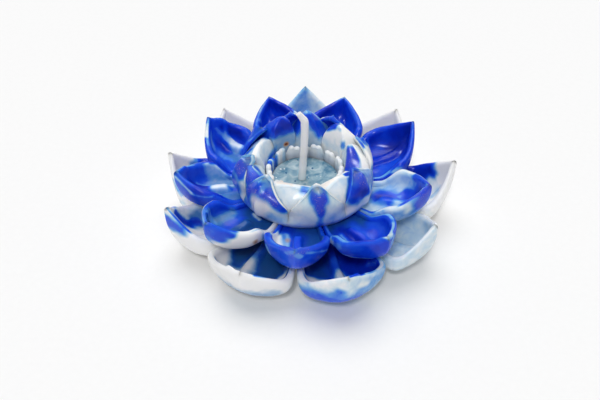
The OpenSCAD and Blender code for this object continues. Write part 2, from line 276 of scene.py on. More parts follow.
def half_sectors(first, turns, joints, k):
    right = (heading(first, turns, k) - heading(first, turns, k - 1)) / 2 - joints[(k - 1) % len(joints)]
    left = (heading(first, turns, k + 1) - heading(first, turns, k)) / 2 + joints[k % len(joints)]
    return math.radians(right), math.radians(left)


def around(v):
    # The way round a petal's section: its back from right to left, the left rim, its front, and the right rim
    back, left, front = v < 0.44, (v >= 0.44) & (v < 0.5), (v >= 0.5) & (v < 0.94)
    right = ~(back | left | front)
    t = np.select([back, left, front], [v / 0.22 - 1, 1, 1 - (v - 0.5) / 0.22], -1)
    turn = np.select([left, right], [(v - 0.44) / 0.06, (1 - v) / 0.06], 0) * np.pi
    depth = np.select([back, front], [0, 1], (1 - np.cos(turn)) / 2)
    return t, depth, np.sin(turn)


def spread(t):
    # Evens out the points across a section
    a = np.abs(t) ** 1.3
    return a / (a + (1 - np.abs(t)) ** 1.3) * np.pi / 2


def soft_min(a, b):
    a, b = np.maximum(a, 1e-6), np.maximum(b, 1e-6)
    return (a ** -10 + b ** -10) ** -0.1


def stain_and_shade(depth, ways, ground, strokes, k):
    # Lays dye, painted shade and painted highlights on a petal: a ground for its front, rim and back, then
    # brush strokes one after another. A stroke names a skin, its two ends and half width in mm, its strength,
    # and its channel where that isn't the blue. Channel 3 is the teal of painted shade, and blue laid over
    # teal covers it.
    front, back = depth > 0.75, depth < 0.25
    rim = ~(front | back)
    skins = {
        "in": front,
        "rim": rim,
        "top": front | rim,
        "wall": front | rim,
        "out": back,
        "shell": back | rim,
    }
    dye_and_shade = np.zeros((len(depth), 4))
    dye_and_shade[:, 0] = np.select([front, rim], ground[:2], ground[2])
    for where, a0, b0, a1, b1, r, value, *channel in strokes:
        p, q = ways["in" if where in ("in", "rim", "top") else "out"]
        da, db = a1 - a0, b1 - b0
        along = np.clip(((p - a0) * da + (q - b0) * db) / max(da * da + db * db, 1e-6), 0, 1)
        d = np.hypot(p - a0 - along * da, q - b0 - along * db)
        wobble = np.sin(0.9 * p + 1.3 * q + k) + 0.6 * np.sin(2.1 * q - 1.7 * p + 2 * k)
        d = d + min(0.08 * r, 0.25) * wobble
        soft = min(0.95 * r, 2.6)
        cover = (1 - ease(share(d, r - soft, r + soft))) * skins[where]
        c = channel[0] if channel else 0
        if c == 0:
            dye_and_shade[:, 3] = dye_and_shade[:, 3] * (1 - cover)
        dye_and_shade[:, c] = dye_and_shade[:, c] * (1 - cover) + value * cover
    return dye_and_shade


def weld_petal(name, node, rows, loop, shape, turn):
    # Presses a flat sheet of wax to the shape, closes it to a shell and sets it at its place round the column
    bpy.ops.object.select_all(action="DESELECT")
    bpy.ops.mesh.primitive_grid_add(x_subdivisions=rows, y_subdivisions=loop, size=2)
    petal = bpy.context.object
    petal.name = name
    flat = np.empty(3 * len(petal.data.vertices))
    petal.data.vertices.foreach_get("co", flat)
    flat = flat.reshape(-1, 3)
    x, y, z, dye_and_shade = shape((flat[:, 0] + 1) / 2, (flat[:, 1] + 1) / 2)
    a = math.radians(turn)
    place = np.stack([x * math.cos(a) - y * math.sin(a), x * math.sin(a) + y * math.cos(a), z], -1) * mm
    petal.data.vertices.foreach_set("co", place.ravel())
    layer = petal.data.attributes.new("dye_and_shade", "FLOAT_COLOR", "POINT")
    layer.data.foreach_set("color", dye_and_shade.ravel())
    bpy.ops.object.mode_set(mode="EDIT")
    bpy.ops.mesh.select_mode(type="VERT")
    bpy.ops.mesh.select_all(action="SELECT")
    bpy.ops.mesh.remove_doubles(threshold=0.00001)
    bpy.ops.mesh.select_all(action="DESELECT")
    bpy.ops.mesh.select_non_manifold()
    bpy.ops.mesh.edge_face_add()
    bpy.ops.mesh.select_all(action="SELECT")
    bpy.ops.mesh.normals_make_consistent(inside=False)
    bpy.ops.object.mode_set(mode="OBJECT")
    bpy.ops.object.shade_smooth_by_angle(angle=math.radians(50))
    petal.data.materials.append(marbled_shaded_paraffin)
    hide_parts(node)
    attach(petal, "root")


# Ribs stand high in these petals, counted from 0 through the outer and then the middle ones, and low in the
# others
high_ribbed, high_rib, low_rib = (0, 1, 9, 10, 11, 15, 16, 17), 1.9, 0.9


def cup_petal(k, low, tip_r, tip_z, wide_r, bend_r, rim_z, rise_r, wall, halves, rib_y, ground, strokes):
    root_r = column_r + weld_gap
    roll, rim_swell = 1.4, 0.7
    tip_top, rim_top = tip_z - roll, rim_z - roll

    def skin(u, t, end, lift, inset):
        x = root_r + (end - root_r) * (1 - (1 - u) ** 1.7)
        half = np.where(t < 0, *halves)
        width = soft_min(
            x * np.tan(half) - touch_gap / 2 / np.cos(half),
            wide_r * np.tan(half) * (1 - share(x, wide_r - 4, end) ** 2.1),
        )
        width = np.where(u < 1, width, 0) * (1 - inset / (wide_r * np.tan(half)))
        y = np.sign(t) * width * np.sin(spread(t)) ** 0.77
        bend = 1 - (1 - share(x, bend_r, end) ** 2.4) ** (1 / 2.4)
        low_here = low + lift + (tip_top - low - lift) * bend
        rim = low + wall + (rim_top - low - wall) * ease(share(x, rise_r, max(wide_r, rise_r + 4)))
        rim = rim + (tip_top - rim_top) * share(x, wide_r, end) ** 1.5
        wave = 0.35 * np.sin(0.55 * x + 1.9 * k + 2 * np.sign(t))
        rim = rim + wave * share(x, rise_r, wide_r) * (1 - share(x, wide_r, end))
        z = low_here + np.maximum(rim - low_here, 0) * (1 - np.cos(spread(t)) ** 0.77)
        if inset:
            bar = 1 - ease(share(np.abs(y - rib_y - 0.3 * np.sin(0.3 * x + k)), 0.8, 2.1))
            bar = (high_rib if k in high_ribbed else low_rib) * bar
            z = z + bar * ease(share(x, rise_r, rise_r + 3)) * (1 - ease(share(x, end - 3, end)))
        hollow = np.where(u == 0, root_r - np.sqrt(np.maximum(root_r ** 2 - y ** 2, 0)), 0)
        return x - hollow, y, z

    def shape(u, v):
        t, depth, arch = around(v)
        back = skin(u, t, tip_r, 0, 0)
        front = skin(u, t, tip_r - tip_wall, wall, wall + rim_swell)
        x, y, z = (b * (1 - depth) + f * depth for b, f in zip(back, front))
        z = z + roll * arch
        dimple = 0.12 * np.sin(0.5 * x + 0.7 * y + 2.3 * k) * np.sin(0.6 * y - 0.3 * x + k)
        z = z + dimple * share(u, 0, 0.3)
        # Strokes on the back run in mm round the bow and in mm above the underside, the others along and
        # across
        bow = 14 * np.arctan2(y, x - wide_r + 7)
        return x, y, z, stain_and_shade(depth, {"in": (x, y), "out": (bow, z - low)}, ground, strokes, k)

    return shape


outer_first, outer_turn = -110, [-4, -5, -1, -5.5, -3.5, 0, -1, -1, -6.5]
outer_joint = [0.2, 2, 0, 0, 0, 0, 0, 0, -2.8]
outer_reach = [-0.5, 2, 0, 2.6, 0.4, 0.4, -0.6, -0.9, 0]
outer_rise = [-6, -2.8, -3, 0.6, 0.4, 1.8, -0.8, -0.2, -1.2]
outer_broad = [0, -1, 1.5, 0, 0, 0, 0, 0, -2]
outer_z = foot_t + weld_gap
# The tips end 0.02 mm inside the solids'
outer_tip_r, outer_tip_h, outer_wide_r, outer_bend_r = 49.98, 21, 41, 36
# Each petal's ground strength on its front, rim and back, and its strokes of dye. With the dye they paint
# shade: the navy and the teal (channel 3) inside the front petals and low on the first one's front are
# painted shade.
outer_dye_and_shade = [
    ((0.84, 0.06, 0.05), [
        ("in", 20, 0, 44, 0, 14, 0.9, 3), ("in", 26, -4.6, 35, -4.6, 1.6, 0.5),
        ("in", 34, -4.6, 39, -4.6, 2.4, 0.2), ("wall", -22, 8, -16, 6, 2.6, 0.06),
        ("in", 36, -14, 40, -13, 2.6, 0.06), ("in", 33, 9, 36, 7.5, 1.6, 0.1),
        ("in", 30, 8, 33, 9, 1.2, 0.3), ("in", 39, -9, 42, 3, 2, 0.1),
        ("rim", 44.5, 6.5, 46.5, 4, 0.7, 0.62), ("rim", 34, 11, 37, 12, 1, 0.3),
        ("out", -8, 4, 10, 4, 3, 0.34), ("out", -8, 4, 10, 4, 3.4, 0.3, 3),
    ]),
    ((0.9, 0.16, 0.28), [
        ("in", 20, -4, 40, -6, 5, 0.6, 3), ("in", 29, 2.6, 37, 2.4, 1.3, 0.6),
        ("in", 36, 2.4, 40, 2.4, 2.2, 0.2), ("in", 35.5, -9, 36.5, -4, 1.8, 0.1),
        ("in", 38, -8, 44, -4, 3, 0.12), ("wall", 17, 8.5, 20, 5.5, 0.8, 0.56),
        ("rim", 36, 14.5, 48, 8, 1.2, 0.5), ("rim", 48, 5.5, 51, 1, 0.8, 0.84),
        ("rim", 35, -11.5, 50, -2, 1.2, 0.18), ("out", -15, 9.2, -1, 15, 2, 0.2),
        ("out", -10, 5, 4, 5, 4.4, 0.62), ("out", -2, 11.5, -2, 9, 1.4, 0.56),
        ("out", 6, 9, 14, 8.5, 3, 0.46), ("out", 3.5, 12.5, 6, 11, 0.9, 0.2),
    ]),
    ((0.26, 0.2, 0.24), [
        ("in", 35.5, -5, 37, 0, 1.6, 0.34), ("wall", 20, 8, 26, 6, 2, 0.34), ("in", 33, 8, 36, 8, 1, 0.32),
    ]),
    ((0.1, 0.07, 0.06), [
        ("wall", 9.5, 12, 16, 9.5, 3.4, 0.88), ("wall", 8, 9.5, 13, 8, 2.4, 0.86),
        ("wall", 2, 7, 7, 8, 1.6, 0.2), ("wall", 0, 6, 1, 8, 1.2, 0.3), ("in", 28, 3, 36, 5, 5, 0.7),
        ("out", -14, 9, -12, 7, 1.5, 0.2),
    ]),
    ((0.07, 0.06, 0.07), [("in", 26, 0, 34, 2, 5, 0.7), ("out", 4, 6, 9, 8, 3, 0.3)]),
    ((0.3, 0.28, 0.3), [
        ("wall", 2, 21.5, 3, 12, 4.5, 0.39), ("wall", 7, 14, 4, 18, 2.5, 0.38),
        ("wall", -7, 14, -3.4, 19, 2.2, 0.24),
    ]),
    ((0.07, 0.06, 0.07), [("in", 26, 0, 34, -2, 5, 0.7), ("out", -6, 7, -2, 9, 3, 0.28)]),
    ((0.1, 0.07, 0.08), [
        ("wall", -16, 9.5, -13, 10, 1.6, 0.85), ("wall", -12, 10.5, -9, 11, 1.2, 0.46),
        ("out", 12, 7, 14, 8, 1.2, 0.26), ("shell", 7, 13.5, 13, 10.5, 0.6, 0.42),
        ("in", 26, 0, 34, -5, 4, 0.7),
    ]),
    ((0.16, 0.12, 0.06), [
        ("wall", -16.5, 6, -13, 6, 2.6, 0.44), ("wall", -16.5, 5, -12, 5, 2.8, 0.5, 3),
        ("wall", -3, 14.5, -5.5, 9, 0.9, 0.74), ("wall", -5.5, 9, -8.5, 4.8, 1.1, 0.8),
        ("wall", -8.5, 4.8, -13, 4, 1.1, 0.84), ("rim", 48.6, 2, 44.5, 7, 1, 0.66),
        ("rim", 46, -5, 49.8, 0, 1.2, 0.7), ("shell", 1, 15.2, 4.6, 13.6, 2.5, 0.64),
        ("shell", -2, 16, 1, 13.6, 1.8, 0.66),
    ]),
]
outer_rib_y = [-4.5, 2.3, 0, 0, 0, 0, 0, 0, 0]
for k in range(9):
    halves = half_sectors(outer_first, outer_turn, outer_joint, k)
    weld_petal(
        f"petal_outer_{k + 1}", f"outer_petal_{k + 1}", 80, 170,
        cup_petal(
            k, outer_z, outer_tip_r + outer_reach[k], outer_z + outer_tip_h + outer_rise[k],
            outer_wide_r + outer_broad[k], outer_bend_r, outer_z + outer_rim_h,
            column_r + weld_gap, outer_wall, halves, outer_rib_y[k], *outer_dye_and_shade[k],
        ),
        heading(outer_first, outer_turn, k),
    )

# Middle petals.
# Nine smaller petals of the same form and wax, dyed a strong royal blue with white streaks, set half a step
# round so that each stands on the rims of two outer petals and its root lies under the bud.
middle_first, middle_turn = -90, [-4, -5.5, -6, 0, 0, -1.5, -6, -2, -4]
middle_joint = [0, 0, 0, 0, 0, 0, 0, -4, 0]
middle_reach = [0.4, 2, -0.4, 1.4, -0.1, -0.2, 0.3, 0.4, 1.2]
middle_rise = [-0.4, -0.8, -0.3, 1.3, -0.3, -0.4, 0.6, 0.2, 0.2]
middle_broad = [0, 2, 0, 0, 0, 0, 0, 0, 0]
middle_rib_y = [0, 0, 0, 0, 0, 0, -3, -2.4, 0]
middle_z = outer_z + outer_rim_h + stack_gap
middle_tip_r, middle_tip_h, middle_wide_r, middle_bend_r, middle_rim_h = 44, 13.8, 32.5, 31.5, 9
bud_belly_r = 24.4
# With the dye these strokes paint light and shade: the navy and teal (channel 3) on the cup floors and under
# the ribs are painted shade, and the pale strokes on rib crests and rims are partly painted highlights
middle_dye_and_shade = [
    ((0.86, 0.7, 0.66), [
        ("in", 22, 3, 32, 6, 5, 0.7, 3), ("in", 26, 0, 34, 0, 2.2, 0.76),
        ("in", 26.5, -7.3, 30, -6.5, 2.2, 0.12), ("wall", -16, 6, -14, 7, 2, 0.14),
        ("in", 25, -4, 30, -3.5, 1, 0.4), ("in", 27.3, -3.7, 27.6, -3.6, 0.7, 0.42, 2),
        ("rim", 30, 9, 36, 7, 1.2, 0.86), ("rim", 31, -10, 33, -9.8, 1.1, 0.9),
        ("rim", 35, -8, 40, -5, 1, 0.56), ("rim", 41.5, 2, 43.5, 0, 1, 0.6), ("out", 4, 5, 9, 5, 2.6, 0.8),
        ("out", 3, 8.5, 8, 9.5, 1.6, 0.72), ("out", 3, 10.6, 11.5, 5.6, 0.5, 0.52),
        ("out", -10.5, 7, -9, 5, 0.9, 0.42), ("out", -2.2, 11, 0, 13, 0.7, 0.5),
        ("out", 0.6, 11.5, 1.6, 10, 0.6, 0.44), ("shell", -3, 12, 3, 12, 1.4, 0.5, 1),
    ]),
    ((0.84, 0.66, 0.8), [
        ("in", 21, -6, 25, 6, 3.2, 0.8, 3), ("in", 25, -2.6, 34, -2.4, 2.2, 0.93),
        ("in", 25, 2, 37, 2.2, 1.8, 0.64), ("out", -14, 2.4, 4, 2.2, 1.2, 0.3),
        ("in", 28, 7.5, 37, 7.4, 1.8, 0.68), ("in", 27, -4.2, 31, -4.6, 0.8, 0.5),
        ("rim", 39, -7, 42, -3.8, 1, 0.92), ("rim", 30, -9.7, 36, -9, 1.3, 0.47),
        ("rim", 20, -6.5, 28, -8.6, 1, 0.56), ("rim", 38, 8, 45, 0.5, 1, 0.36),
        ("rim", 26, 9, 36, 10, 1.2, 0.44), ("out", -20, 4, -17.5, 5, 1.6, 0.3),
        ("out", -15, 5, -13, 7.5, 1.6, 0.52), ("out", -11.5, 8, -8, 8.5, 1.4, 0.62),
        ("out", -6, 10.5, -2, 12, 0.8, 0.66), ("out", 2.2, 9, 3.2, 9.4, 1.3, 0.36),
        ("out", 5, 6, 10, 7, 3, 0.66), ("shell", 0, 13, 2.5, 11.6, 0.8, 0.34),
    ]),
    ((0.38, 0.3, 0.4), [
        ("in", 24, 10, 33, 10.5, 1.8, 0.3), ("in", 22, -5, 26, -4, 1.8, 0.28),
        ("in", 22.3, -3, 22.5, 7, 0.7, 0.3), ("in", 32.3, -2, 32.6, 8, 1.2, 0.3),
        ("in", 26.6, 2.3, 29.2, 2.2, 2.8, 0.94), ("in", 36, 3, 38.5, 2.8, 2.5, 0.94),
        ("wall", 3, 11, 8, 9.8, 1.3, 0.7), ("wall", 5, 4, 9, 3.4, 0.9, 0.74),
        ("rim", 29, 11.5, 35.5, 9.5, 1.3, 0.2), ("rim", 37.5, 7.3, 43, 0.5, 1.2, 0.66),
        ("rim", 21, -7, 27, -8.2, 1, 0.62), ("rim", 28, -9, 34, -9.3, 1.3, 0.24),
        ("rim", 35.5, -8.3, 42.3, -0.8, 1.2, 0.74), ("out", -15, 8.3, -8, 9, 1.2, 0.24),
        ("out", -13, 5.5, -4, 4.5, 1.8, 0.4), ("out", -8, 7, -6, 8, 1, 0.22),
        ("shell", -3, 8, -1, 12, 2.8, 0.76), ("shell", 0, 13.4, -4, 11, 1.4, 0.5, 1),
        ("out", 3, 6, 8, 6, 4, 0.5),
    ]),
    ((0.88, 0.74, 0.8), [
        ("in", 25, -6, 31, -4.5, 2.4, 0.66), ("in", 31, -5.5, 36, -4, 1.6, 0.7),
        ("in", 33, 5, 37, 6, 1.6, 0.76), ("in", 31, 9.3, 36, 9, 1, 0.72), ("in", 37, 1, 42, 0, 2, 0.96),
        ("in", 29.6, 3, 31, 7.6, 0.5, 0.5), ("rim", 22, -8.5, 28.5, -10.3, 1.2, 0.46),
        ("rim", 30, -11.4, 37, -9.6, 1.3, 0.74), ("rim", 40, -5.5, 44.5, -0.5, 1, 0.64),
        ("out", -18, 6, -16, 7, 1, 0.4),
    ]),
    ((0.78, 0.7, 0.74), [
        ("wall", 4, 9.5, 9, 9, 2.2, 0.93), ("wall", -9, 7, -3, 9, 2.4, 0.74),
        ("wall", -1, 7, 2, 9, 1.6, 0.84), ("wall", -8, 9.8, -3, 11.6, 0.7, 0.64),
        ("rim", 34, -8.5, 42, -1.5, 1.2, 0.6), ("rim", 41.5, 2, 43.5, 0, 1.1, 0.42),
        ("rim", 40, 3.5, 43, 1, 0.8, 0.5, 1),
    ]),
    ((0.78, 0.66, 0.72), [
        ("wall", -7, 9, -1, 10.5, 1.8, 0.92), ("wall", 3, 7, 5, 6, 1.8, 0.76),
        ("wall", 6.5, 7.5, 8, 9.2, 1, 0.52), ("rim", 38, 5.6, 41.5, 2.4, 0.8, 0.4),
        ("rim", 33, 8.6, 37, 6.6, 1, 0.54), ("rim", 33.5, -9.4, 35.5, -8.4, 1, 0.2),
        ("rim", 38, 5, 41, 2.5, 0.7, 0.6, 1),
    ]),
    ((0.64, 0.62, 0.74), [
        ("wall", -9, 7, -5, 8.5, 2.4, 0.94), ("wall", -3.5, 10.5, -2, 9, 1, 0.9),
        ("wall", -12, 7.5, -11, 8, 1.2, 0.62), ("wall", -1.2, 9.5, -2.5, 5.5, 0.7, 0.5),
        ("in", 30, 1.5, 34, 1, 2.4, 0.46), ("in", 30, 1.5, 34, 1, 2.6, 0.5, 3),
        ("in", 35, 0, 39, 0.4, 1.4, 0.86), ("in", 34, -3, 38.2, -2.8, 0.8, 0.38),
        ("in", 32, -3, 35, -3, 1.4, 0.2), ("in", 31, 3.2, 36, 3.6, 1, 0.5), ("wall", 2, 9, 4, 6, 1.4, 0.42),
        ("in", 26, 5.5, 31, 5.5, 1.2, 0.64), ("rim", 25, 9.3, 28, 10, 1, 0.58),
        ("rim", 37, 8.2, 42, 1.6, 1.1, 0.42), ("rim", 28, 10.6, 35, 9.8, 1, 0.66),
        ("shell", 2, 12.4, 6, 11.2, 0.7, 0.14), ("rim", 32, -9, 38, -6.5, 1.2, 0.7),
    ]),
    ((0.6, 0.66, 0.68), [
        ("in", 24, -5, 33, -5, 3.4, 0.42), ("in", 24, -5, 33, -5, 4, 0.5, 3),
        ("in", 35.5, -7, 40, -4, 2.4, 0.66), ("in", 27, -10, 33, -10, 1.3, 0.28),
        ("in", 25, -4.4, 37, -4.4, 0.6, 0.34), ("in", 33.4, -2.4, 38, -2.4, 1.6, 0.95),
        ("in", 27.5, -2.4, 31.5, -2.4, 1.3, 0.18), ("in", 23, -2.2, 25.5, -2.2, 1.2, 0.6),
        ("in", 24, 1.4, 33, 1.4, 1.8, 0.46), ("in", 24, 1.4, 33, 1.4, 2, 0.5, 3),
        ("wall", -16, 9, -14, 9.4, 0.7, 0.9), ("rim", 29.5, 6.6, 37.5, 5.4, 1.2, 0.88),
        ("rim", 38.5, -7.5, 43.5, -0.8, 1.2, 0.45), ("rim", 31, -11.3, 34, -10.8, 0.9, 0.95),
        ("out", 1.5, 5, 1, 11, 1.6, 0.6), ("out", 5, 6, 8, 4.5, 2, 0.8), ("out", 4, 10, 12, 8.4, 0.9, 0.86),
        ("out", 4.6, 7.6, 12, 8, 0.4, 0.5), ("out", 0.5, 12, 5, 8.2, 0.5, 0.36),
    ]),
    ((0.84, 0.66, 0.1), [
        ("in", 20, 2, 38, 1, 8, 0.85, 3), ("in", 22, -2.5, 22.6, 0.8, 0.9, 0.25),
        ("in", 27, -4.4, 34, -4, 2, 0.72), ("in", 27, -7.6, 35, -7.4, 2, 0.38),
        ("in", 27, -7.6, 35, -7.4, 2.2, 0.55, 3), ("in", 35.5, -7, 38.5, -6.8, 0.8, 0.45),
        ("wall", -18, 6, -12, 7, 1.8, 0.82), ("wall", -9.5, 7, -8, 5, 1, 0.45),
        ("in", 26, -10.5, 35, -9.8, 0.9, 0.72), ("rim", 21, 7, 36.5, 8.3, 1.9, 0.08),
        ("shell", -6, 10, 0.5, 11.5, 3, 0.53), ("rim", 39.5, 5.6, 44.5, 0.5, 1, 0.6),
        ("shell", 1.4, 12, 3.6, 8.8, 2, 0.6), ("out", 2.4, 9, 3, 7.8, 1.2, 0.72),
        ("shell", 3.5, 10.6, 6, 9.6, 1.2, 0.74), ("out", 0.3, 3.5, 0.4, 8, 0.6, 0.26),
        ("out", 16.4, 6, 16.6, 4.3, 0.8, 0.46), ("out", 13, 5.2, 13.1, 4.2, 0.8, 0.5, 2),
        ("out", 0, 11, 1.5, 6, 0.8, 0.5, 1), ("out", -8, 5, -3, 8, 4, 0.6),
    ]),
]
for k in range(9):
    halves = half_sectors(middle_first, middle_turn, middle_joint, k)
    weld_petal(
        f"petal_middle_{k + 1}", f"middle_petal_{k + 1}", 80, 170,
        cup_petal(
            k + 9, middle_z, middle_tip_r + middle_reach[k], middle_z + middle_tip_h + middle_rise[k],
            middle_wide_r + middle_broad[k], middle_bend_r, middle_z + middle_rim_h,
            bud_belly_r + stack_gap, middle_wall, halves, middle_rib_y[k], *middle_dye_and_shade[k],
        ),
        heading(middle_first, middle_turn, k),
    )

# Bud.
# Two rings of eight upright petals lean in round the cup. They are of white wax with blue, gold-dusted tips,
# the outer ones with a keel down the back, and are pressed together while warm, so that they close to one
# dome.
bud_z = middle_z + middle_wall + stack_gap
bud_belly_h = 6.5
bud_seat_r, crown_tip_r = 21.5, 21.7
dome_seat_r, dome_belly_r, dome_h = 19.7, 22.6, 13.7
cup_r, lip_wall = 13.5, 1.8
bud_tip_h, inner_tip_h = 15.6, 14.2


def bowed(high, seat, belly, tip, top):
    # A back that swells from its seat to its belly and leans in to its tip
    below = belly - (belly - seat) * (1 - share(high, 0, bud_belly_h)) ** 2
    return np.where(high < bud_belly_h, below, belly - (belly - tip) * share(high, bud_belly_h, top) ** 2)


def bud_petal(k, outside, h, halves, keel, dome_top, outline, ground, strokes):
    crest = 0.8
    top = h - crest
    shoulder, power, skew, tip_r = outline

    def shape(u, v):
        t, depth, arch = around(v)
        s = 1 - (1 - u) ** 1.4
        high = top * s
        half = np.where(t < 0, *halves) + 0.002
        q = share(s, shoulder, 1)
        a = t * half * (1 - q ** power) ** 0.8 + math.radians(skew) * ease(q)
        dome = bowed(high, dome_seat_r, dome_belly_r, tip_r, dome_top)
        if outside:
            # The sides lie flush in the dome below and stand a little proud of it towards the tip
            crown = bowed(high, bud_seat_r, bud_belly_r, crown_tip_r, top)
            sunk = ease(share(s, 0.18, 0.42))
            side = crown * (1 - sunk) + (dome + 1.3 * ease(share(s, 0.4, 0.75)) - 0.05) * sunk
            back = crown + (side - crown) * np.abs(t) ** 1.8
            y = back * np.sin(a)
            ridge = keel * np.exp(-(y / 1.5) ** 2)
            back = back + ridge * ease(share(s, 0.1, 0.3)) * (1 - ease(share(s, 0.5, 0.85)))
            pinch = 0.35 * np.exp(-(y / 0.7) ** 2)
            back = back + pinch * ease(share(s, 0.5, 0.75)) * (1 - ease(share(s, 0.85, 1)))
            thin = ease(share(s, 0.5, 0.9))
            front = (dome - 0.6) * (1 - thin) + (back - 1.7) * thin
        else:
            back = dome
            front = cup_r + (tip_r - lip_wall - cup_r) * share(high, bud_belly_h, top) ** 2
        r = back * (1 - depth) + front * depth
        x, y = r * np.cos(a), r * np.sin(a)
        z = bud_z + high + crest * arch
        z = z + 0.2 * np.sin(0.8 * y + 1.7 * k) * share(s, 0.4, 0.7) * (1 - share(s, 0.8, 1))
        dye_and_shade = stain_and_shade(depth, {"in": (y, z - bud_z), "out": (y, z - bud_z)}, ground, strokes, k)
        return x, y, z, dye_and_shade

    return shape


# Outlines give the height share where a petal starts to taper, how full its shoulders are, how many degrees
# its tip swerves, and how far its tip stands from the axis
bud_first, bud_turn = -78, [0, 2, 12, 6, 2, -5, -4, -6]
bud_rise = [0, 0, 0.4, 2.4, 2.9, 2, 0, 0]
bud_keel = [0.5, 0.6, 0.4, 0.4, 0.4, 0.5, 0.7, 1.3]
bud_outline = [
    (0.42, 1.3, 0, 17.4), (0.42, 1.7, 0, 17.4), (0.42, 1.7, 0, 17.4), (0.4, 1.8, 0, 17.4),
    (0.4, 1.8, 0, 17.4), (0.4, 1.8, 0, 17.4), (0.42, 1.6, 0, 17.4), (0.42, 1.4, -5, 17.4),
]
inner_first, inner_turn = -105, [0, 10, 23, 12, 13, 1, -5, -6]
inner_rise = [0, 0.6, 1.8, 4.1, 6, 5.5, 0.4, 0]
inner_outline = [
    (0.7, 5, 0, 17.4), (0.6, 3, 0, 17.4), (0.3, 1.2, 5.5, 16.6), (0.55, 2.8, 0, 17.4),
    (0.45, 1.3, 0, 18.5), (0.55, 2.8, 0, 17.4), (0.75, 6, 0, 17.4), (0.5, 1.6, -4, 20),
]
# The blue on the tips is dye; the pale blue-grey grounds on the backs of the front petals are partly painted
# shade
bud_dye_and_shade = [
    ((0.15, 0.14, 0.26), [
        ("out", 5, 4, 8, 3, 3, 0.38), ("out", -9, 2, -5, 1.5, 2, 0.28), ("out", -0.2, 0, 0, 8, 1, 0.58),
        ("out", -1.6, 12.6, 1.4, 12.6, 1.5, 0.74), ("out", -0.2, 11, 0.1, 9.4, 1.5, 0.74),
        ("out", 0.2, 10, 0.2, 13.4, 1.8, 0.8, 1), ("rim", -3, 13.3, -1, 14.4, 0.7, 0.5),
        ("rim", 0, 15.2, 1.5, 15, 0.8, 0.1),
    ]),
    ((0.7, 0.6, 0.2), [
        ("out", -5.5, 9.5, -1, 11.5, 2.6, 0.88), ("out", -3, 9, -1, 9.5, 1.2, 0.94),
        ("out", 1.5, 12, 6, 10.2, 2, 0.46), ("out", 3.5, 8, 5.5, 8.4, 1.2, 0.58),
        ("out", -0.5, 13.8, 0.5, 14.6, 1.2, 0.7), ("out", -1, 13, 5, 10.5, 1.8, 0.8, 1),
        ("out", -9, 2.5, -3, 2.8, 1.2, 0.34), ("rim", -8, 9.5, 0, 15, 1.2, 0.78),
        ("rim", 2, 14, 8, 11.5, 1, 0.2),
    ]),
    ((0.2, 0.12, 0.2), [
        ("rim", -3.5, 14.3, 0.5, 15.6, 1, 0.64), ("out", -2, 14, 0, 15, 1, 0.6),
        ("out", -9, 4, -10, 9, 1.4, 0.45), ("out", 0, 13.5, 0.3, 12.5, 0.7, 0.9),
        ("out", 2, 8, 5, 4, 3, 0.3),
    ]),
    ((0.84, 0.7, 0.68), [
        ("out", 0, 4, 1, 8, 5, 0.3), ("rim", 3.5, 16, 5, 14, 1, 0.2),
        ("rim", -5, 14.6, -4, 15.4, 0.7, 0.14),
    ]),
    ((0.82, 0.66, 0.66), [
        ("in", -1.5, 12, -0.5, 14, 1, 0.56), ("rim", -2.5, 16.4, -1, 17.6, 0.8, 0.16),
        ("out", 0, 3, -1, 8, 5, 0.3),
    ]),
    ((0.78, 0.62, 0.68), [
        ("rim", 4, 14, 5, 13.2, 0.7, 0.38), ("rim", 5.5, 12, 8.5, 9, 1.2, 0.66),
        ("in", 1, 11, 4, 11, 0.8, 0.5), ("out", -1, 3, 4, 4, 3, 0.5),
    ]),
    ((0.42, 0.36, 0.42), [
        ("out", 6.5, 8.5, 7.5, 4.5, 1.5, 0.2), ("out", 0, 13, 4.5, 11, 1.3, 0.74),
        ("out", -0.5, 11.5, 1, 11, 1, 0.66), ("out", 2, 6.8, 4, 6, 2.2, 0.64),
        ("out", -0.5, 14.5, 0.5, 15, 0.9, 0.54), ("out", 0, 13.5, 3, 11.5, 1.3, 0.8, 1),
        ("out", -6, 7, -3, 9, 3, 0.6), ("rim", 4, 12.5, 8, 8, 1, 0.24),
    ]),
    ((0.4, 0.2, 0.26), [
        ("out", -6.5, 4.5, -4.5, 8, 2.2, 0.58), ("out", 4.6, 5, 8, 4, 1.6, 0.4),
        ("out", -7.5, 9, -1.4, 12.6, 1.8, 0.76), ("out", 1.2, 12.2, 8.5, 8.4, 1.3, 0.78),
        ("out", -1.6, 8.2, 2.4, 8, 1.9, 0.04), ("out", -1, 5, 1, 5, 1.5, 0.04),
        ("out", -0.3, 3, 0.1, 1, 1.2, 0.06), ("out", 0, 13.4, 0.2, 12.6, 0.8, 0.5),
        ("out", -5, 10.6, 5, 10.8, 1.6, 0.8, 1), ("rim", -7, 9.5, -2, 13, 1.1, 0.66),
        ("rim", 2, 14, 9, 8, 1, 0.14), ("rim", -0.5, 15, 0.5, 15, 0.6, 0.4),
    ]),
]
for k in range(8):
    halves = half_sectors(bud_first, bud_turn, [0], k)
    dome_top = dome_h + (inner_rise[k] + inner_rise[(k + 1) % 8]) / 2
    weld_petal(
        f"petal_bud_outer_{k + 1}", f"bud_outer_petal_{k + 1}", 56, 150,
        bud_petal(
            k, True, bud_tip_h + bud_rise[k], halves, bud_keel[k], dome_top,
            bud_outline[k], *bud_dye_and_shade[k],
        ),
        heading(bud_first, bud_turn, k),
    )
